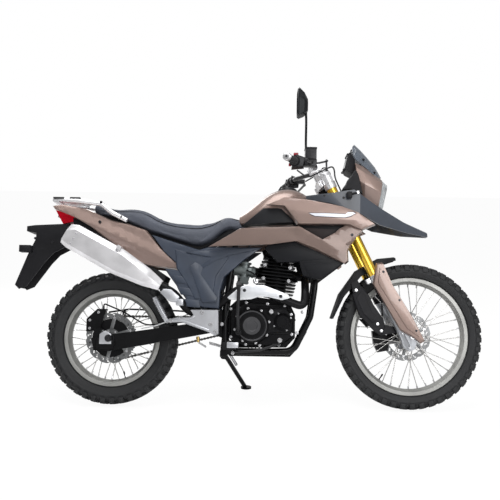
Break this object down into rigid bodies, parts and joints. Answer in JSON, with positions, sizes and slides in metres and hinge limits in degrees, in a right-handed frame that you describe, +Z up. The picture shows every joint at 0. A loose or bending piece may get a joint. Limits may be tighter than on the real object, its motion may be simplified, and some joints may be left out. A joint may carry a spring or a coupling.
{
  "type": "dual sport motorcycle",
  "caption": "Road and trail motorcycle leaning on its side stand: knobby spoked wheels, long fork with guards, open single-cylinder engine, high silencer, narrow seat and rack.",
  "frame": {"origin": "on the floor under the middle of the leaning machine's bounding box", "axes": "+X forwards, +Y to the rider's left, +Z up"},
  "size_m": [2.2369, 0.8484, 1.5003],
  "materials": {
    "tyre_rubber": "satin",
    "rim_alloy": "satin",
    "spoke_steel": "polished",
    "hub_alloy": "satin",
    "disc_steel": "brushed",
    "sprocket_steel": "satin",
    "fork_gold": "gloss",
    "fork_alloy": "satin",
    "bronze_paint": "gloss",
    "dark_plastic": "satin",
    "black_plastic": "matte",
    "yoke_alloy": "satin",
    "bar_black": "satin",
    "grip_rubber": "matte",
    "bar_end_alloy": "satin",
    "frame_black": "gloss",
    "engine_black": "satin",
    "carburettor_alloy": "satin",
    "pipe_black": "matte",
    "muffler_steel": "satin",
    "shield_alloy": "satin",
    "seat_cover": "matte",
    "rack_alloy": "satin",
    "lamp_red": "gloss",
    "lamp_clear": "gloss",
    "screen_smoke": "gloss",
    "chain_steel": "satin",
    "mirror_black": "satin",
    "lever_steel": "satin",
    "peg_alloy": "satin",
    "cable_black": "satin",
    "cap_black": "satin"
  },
  "bodies": {
    "frame": {"axle_plates": "peg_alloy", "carburettor": "carburettor_alloy", "drive_chain": "chain_steel", "engine_covers": "engine_black", "engine_crankcase": "engine_black", "engine_top_end": "engine_black", "exhaust_header": "pipe_black", "foot_levers": "lever_steel", "front_beak": "dark_plastic", "fuel_tank": "bronze_paint", "grab_rack": "rack_alloy", "headlight": "lamp_clear", "headlight_cowl": "bronze_paint", "heat_shield": "shield_alloy", "instruments": "black_plastic", "lower_panels": "dark_plastic", "lower_shrouds": "bronze_paint", "main_frame": "frame_black", "muffler": "muffler_steel", "passenger_pegs": "peg_alloy", "rear_caliper": "frame_black", "rear_fender": "black_plastic", "rear_shock": "lever_steel", "rider_pegs": "lever_steel", "seat": "seat_cover", "side_panels": "dark_plastic", "skid_plate": "frame_black", "subframe": "frame_black", "swingarm": "frame_black", "tail_light": "lamp_red", "tail_panels": "bronze_paint", "tank_cap": "cap_black", "upper_shrouds": "bronze_paint", "windscreen": "screen_smoke"},
    "steering": {"fork_tubes": "fork_gold", "fork_sliders": "fork_alloy", "fork_guards": "bronze_paint", "fork_yokes": "yoke_alloy", "handlebar": "bar_black", "grips": "grip_rubber", "bar_ends": "bar_end_alloy", "bar_controls": "lever_steel", "mirror": "mirror_black", "front_fender": "black_plastic", "fender_skirts": "dark_plastic", "front_caliper": "frame_black", "control_cables": "cable_black"},
    "front_wheel": {"front_tyre": "tyre_rubber", "front_rim": "rim_alloy", "front_hub": "hub_alloy", "front_spokes": "spoke_steel", "front_disc": "disc_steel"},
    "rear_wheel": {"rear_tyre": "tyre_rubber", "rear_rim": "rim_alloy", "rear_hub": "hub_alloy", "rear_spokes": "spoke_steel", "rear_disc": "disc_steel", "rear_sprocket": "sprocket_steel"},
    "side_stand": {"side_stand": "frame_black"}
  },
  "joints": [
    {"name": "steering_turn", "type": "hinge", "parent": "frame", "child": "steering", "pos_m": [0.40941, -0.02988, 0.93171], "axis": [-0.4384, 0.1869, 0.8792], "range_deg": [-38, 38]},
    {"name": "front_wheel_spin", "type": "hinge", "parent": "steering", "child": "front_wheel", "pos_m": [0.772, -0.15504, 0.34289], "axis": [0, 0.9781, -0.2079], "continuous": true},
    {"name": "rear_wheel_spin", "type": "hinge", "parent": "frame", "child": "rear_wheel", "pos_m": [-0.648, -0.16151, 0.31246], "axis": [0, 0.9781, -0.2079], "continuous": true},
    {"name": "side_stand_fold", "type": "hinge", "parent": "frame", "child": "side_stand", "pos_m": [-0.118, -0.04674, 0.21752], "axis": [0.095, 0.8074, 0.5823], "range_deg": [0, 108.7]}
  ]
}
